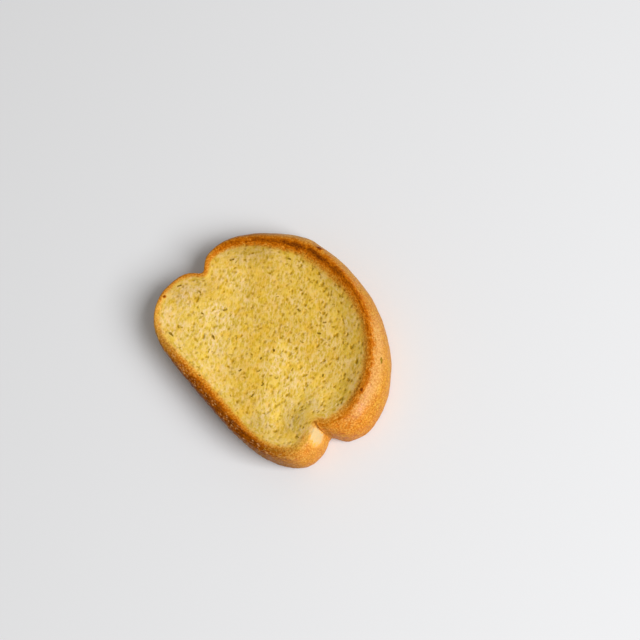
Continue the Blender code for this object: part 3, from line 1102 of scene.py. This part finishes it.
def bread_material(settings):
    """Buttered crumb that turns golden, orange and brown with the stored browning."""
    material, wiring, shader = new_material("Garlic toast")
    place = wiring.millimetres()
    crustwise = wiring.attribute("Crustwise", "Vector")
    crumb = wiring.group(
        crumb_texture(), place=place, crustwise=crustwise, follow=wiring.attribute("Follow")
    )
    crust = wiring.group(crust_texture(), place=place, crustwise=crustwise)
    on_crust = wiring.between(wiring.attribute("Baked"), 0.2, 0.42)
    crumb_colour, soak = crumb_colours(wiring, settings, crumb, place)
    dusted = flour_dust(wiring, place, crustwise)
    crust_colour, tone = crust_colours(wiring, settings, crust, on_crust, dusted)
    colour = wiring.mix(wiring.between(tone, 0.04, 0.3), crumb_colour, crust_colour)

    soft = wiring.between(tone, 0.6, 0.3)
    # Painted shade in the pores: the deep pores and the crumb's small pits
    hollow = wiring.combine("MAXIMUM", wiring.attribute("Pore"), wiring.times(crumb["Pits"], 0.8))
    # Tints: butter where it ran most, painted shade on the crumb, and painted shade in the pores
    tints = (
        (wiring.attribute("Rich"), settings.rich),
        (wiring.attribute("PaintedShade"), settings.painted_shade),
        (hollow, settings.pore_shade),
    )
    for share, tint in tints:
        colour = wiring.tint(wiring.times(share, soft, clamp=True), colour, tint)
    torn = wiring.attribute("Torn")
    ragged = wiring.plus(torn, wiring.between(crumb["Tone"], 0.35, 0.65, -0.2, 0.2))
    bare = wiring.mix(wiring.between(ragged, 0.2, 0.7), settings.amber, settings.torn)
    colour = wiring.mix(wiring.between(torn, 0.05, 0.6), colour, bare)
    # Painted shade in the crevice at the notch
    colour = wiring.mix(wiring.between(wiring.attribute("CreviceShade"), 0.2, 0.8), colour, settings.crevice)

    height = wiring.blend(on_crust, wiring.times(crumb["Height"], 0.3), crust["Height"])
    glaze = wiring.between(crust["Tone"], 0.46, 0.62, 0.05, 0.45)
    surface = {
        "Base Color": colour,
        "Normal": wiring.bump(height, 0.8, 0.0003),
        "Roughness": wiring.blend(soak, 0.6, 0.42),
        "Specular IOR Level": 0.04,
        "Coat Weight": wiring.times(glaze, wiring.attribute("Side")),
        "Coat Roughness": 0.3,
        "Subsurface Weight": 0.12,
        "Subsurface Scale": 0.0012,
        "Subsurface Radius": (1.0, 0.6, 0.2),
    }
    wiring.feed(shader, surface)
    return material


def herb_material(settings):
    """Dried parsley, each flake a shade of its own."""
    material, wiring, shader = new_material("Dried parsley")
    grain = wiring.noise(wiring.millimetres(), 0.35)
    shade = wiring.plus(wiring.attribute("Shade"), wiring.between(grain, 0.3, 0.7, -0.2, 0.2), clamp=True)
    surface = {
        "Base Color": wiring.mix(shade, settings.leaf_dark, settings.leaf),
        "Normal": wiring.bump(grain, 0.5, 0.0001),
        "Roughness": 0.7,
        "Specular IOR Level": 0.05,
    }
    wiring.feed(shader, surface)
    return material


def floor_material(colour):
    material, wiring, shader = new_material("Pale floor")
    wiring.feed(shader, {"Base Color": colour, "Roughness": 0.6, "Specular IOR Level": 0.2})
    return material


# The operators


class TOAST_OT_bread(bpy.types.Operator):
    """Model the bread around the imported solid"""

    bl_idname = "toast.bread"
    bl_label = "Bread"

    def execute(self, context):
        settings = context.scene.toast_bread
        bread, upper, lower, merged = bread_mesh(settings.grid)
        flakes = relieve(bread, upper, lower, merged, settings)
        lay_flat(bread.data, upper, lower)
        rider(bread, bread_material(settings))
        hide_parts("toast_slice")
        bread["flakes"] = [value for middle, turn, length in flakes for value in (*middle, turn, length)]
        return {"FINISHED"}


class TOAST_OT_herb(bpy.types.Operator):
    """Scatter dried parsley over the crumb and the crust"""

    bl_idname = "toast.herb"
    bl_label = "Herb"

    def execute(self, context):
        settings = context.scene.toast_herb
        bread = bpy.data.objects["garlic_toast"]
        tree = surface_tree(bread.data)
        material = herb_material(settings)
        thickness = settings.thickness / MM
        draw = random.Random(23)
        spots = []
        for x, y, turn, length in np.array(bread["flakes"]).reshape(-1, 4):
            shade = draw.choice((0.6, 0.85, 1.0, 1.0))
            spots.append((*lying_on(tree, x, y, FLAKE_LIFT), turn, 0.85 * length, shade))
        for x, y, degrees, length in DARK_FLAKES:
            spots.append((*lying_on(tree, x, y, DARK_FLAKE_LIFT), math.radians(degrees), 0.9 * length, 0.1))
        shapes = [leaf_shape("leaf", 7, seed, thickness / 2.2) for seed in range(5)]
        rider(scatter("herb_flakes", shapes, spots), material)
        shapes = [leaf_shape("speck", 4, seed, thickness / 0.9) for seed in range(5, 8)]
        spots = self.specks(tree, draw, settings)
        rider(scatter("herb_specks", shapes, spots), material)
        return {"FINISHED"}

    def specks(self, tree, draw, settings):
        """Where the small specks lie, first on the crumb and then on the crust round the side."""
        largest = settings.speck_length / MM
        low, high = (np.array(corner) / MM for corner in SOLID_BOX)

        def speck(place, up, longest, darkest, palest):
            """A speck there: its length, its turn and its shade are drawn in that order."""
            length = largest * draw.uniform(0.4, longest)
            return place, up, draw.uniform(0, math.pi), length, draw.uniform(darkest, palest)

        spots = []
        while len(spots) < settings.specks:
            x, y = draw.uniform(low[0], high[0]), draw.uniform(low[1], high[1])
            hit = tree.ray_cast(Vector((x, y, 100)), Vector((0, 0, -1)))[0]
            if hit is not None and hit.z > HIGH_UP:
                spots.append(speck(*lying_on(tree, x, y, SPECK_LIFT), 1.0, 0.1, 1))
        for _ in range(settings.crust_specks):
            outward = heading(draw.uniform(0, 2 * math.pi))
            start = outward * 100 + Vector((0, 0, draw.uniform(4, high[2] - 2)))
            hit, up, _, _ = tree.ray_cast(start, -outward)
            spots.append(speck(hit + up * SPECK_LIFT, up, 0.9, 0, 0.5))
        return spots


class TOAST_OT_stage(bpy.types.Operator):
    """Set out the floor, the light and the camera"""

    bl_idname = "toast.stage"
    bl_label = "Stage"

    def execute(self, context):
        settings = context.scene.toast_stage
        bpy.ops.object.select_all(action="DESELECT")
        bpy.ops.mesh.primitive_plane_add(size=settings.floor_size)
        floor = just_added("floor")
        floor.data.materials.append(floor_material(settings.floor))
        context.scene.view_settings.view_transform = "Standard"
        world = context.scene.world or bpy.data.worlds.new("Studio")
        context.scene.world = world
        world.use_nodes = True
        sky = world.node_tree.nodes["Background"]
        sky.inputs["Color"].default_value = WARM_FILL
        sky.inputs["Strength"].default_value = settings.fill
        right, up, back = picture_axes(settings)
        sideways = right * math.cos(settings.key_turn) + up * math.sin(settings.key_turn)
        toward = sideways * math.cos(settings.key_lift) + back * math.sin(settings.key_lift)
        bpy.ops.object.light_add(type="AREA", location=toward * settings.key_distance)
        key = just_added("key_light")
        key.data.size = settings.key_size
        key.data.energy = settings.key
        key.data.color = COOL_KEY
        key.rotation_euler = toward.to_track_quat("Z", "Y").to_euler()
        aim = right * ((PICTURE / 2 - settings.centre_x) * settings.pixel)
        aim += up * ((settings.centre_y - PICTURE / 2) * settings.pixel)
        distance = settings.pixel * PICTURE * settings.lens / SENSOR
        bpy.ops.object.camera_add(location=aim + back * distance)
        camera = just_added("camera")
        camera.data.lens = settings.lens
        camera.data.sensor_width = SENSOR
        camera.data.clip_start = 0.01
        camera.rotation_euler = Matrix((right, up, back)).transposed().to_euler()
        context.scene.camera = camera
        return {"FINISHED"}


def picture_axes(settings):
    """The picture's right, its up, and the way from the slice to the camera."""
    across = Vector((math.cos(settings.tilt), 0, -math.sin(settings.tilt)))
    dome = Vector((0, 1, 0))
    right = across * math.cos(settings.roll) + dome * math.sin(settings.roll)
    up = dome * math.cos(settings.roll) - across * math.sin(settings.roll)
    return right, up, right.cross(up)


class TOAST_PT_panel(bpy.types.Panel):
    """Lists the pieces of the toast"""

    bl_label = "Garlic toast"
    bl_space_type = "VIEW_3D"
    bl_region_type = "UI"
    bl_category = "Toast"

    def draw(self, context):
        for operator in OPERATORS:
            self.layout.operator(operator.bl_idname)


OPERATORS = (TOAST_OT_bread, TOAST_OT_herb, TOAST_OT_stage)
SETTINGS = {"toast_bread": BreadSettings, "toast_herb": HerbSettings, "toast_stage": StageSettings}


def register():
    for kind in (*SETTINGS.values(), *OPERATORS, TOAST_PT_panel):
        bpy.utils.register_class(kind)
    for name, kind in SETTINGS.items():
        setattr(bpy.types.Scene, name, bpy.props.PointerProperty(type=kind))


def unregister():
    for name in SETTINGS:
        delattr(bpy.types.Scene, name)
    for kind in (TOAST_PT_panel, *reversed(OPERATORS), *reversed(SETTINGS.values())):
        bpy.utils.unregister_class(kind)


def main():
    register()
    bpy.ops.toast.bread()
    bpy.ops.toast.herb()
    bpy.ops.toast.stage()


if __name__ == "__main__":
    main()
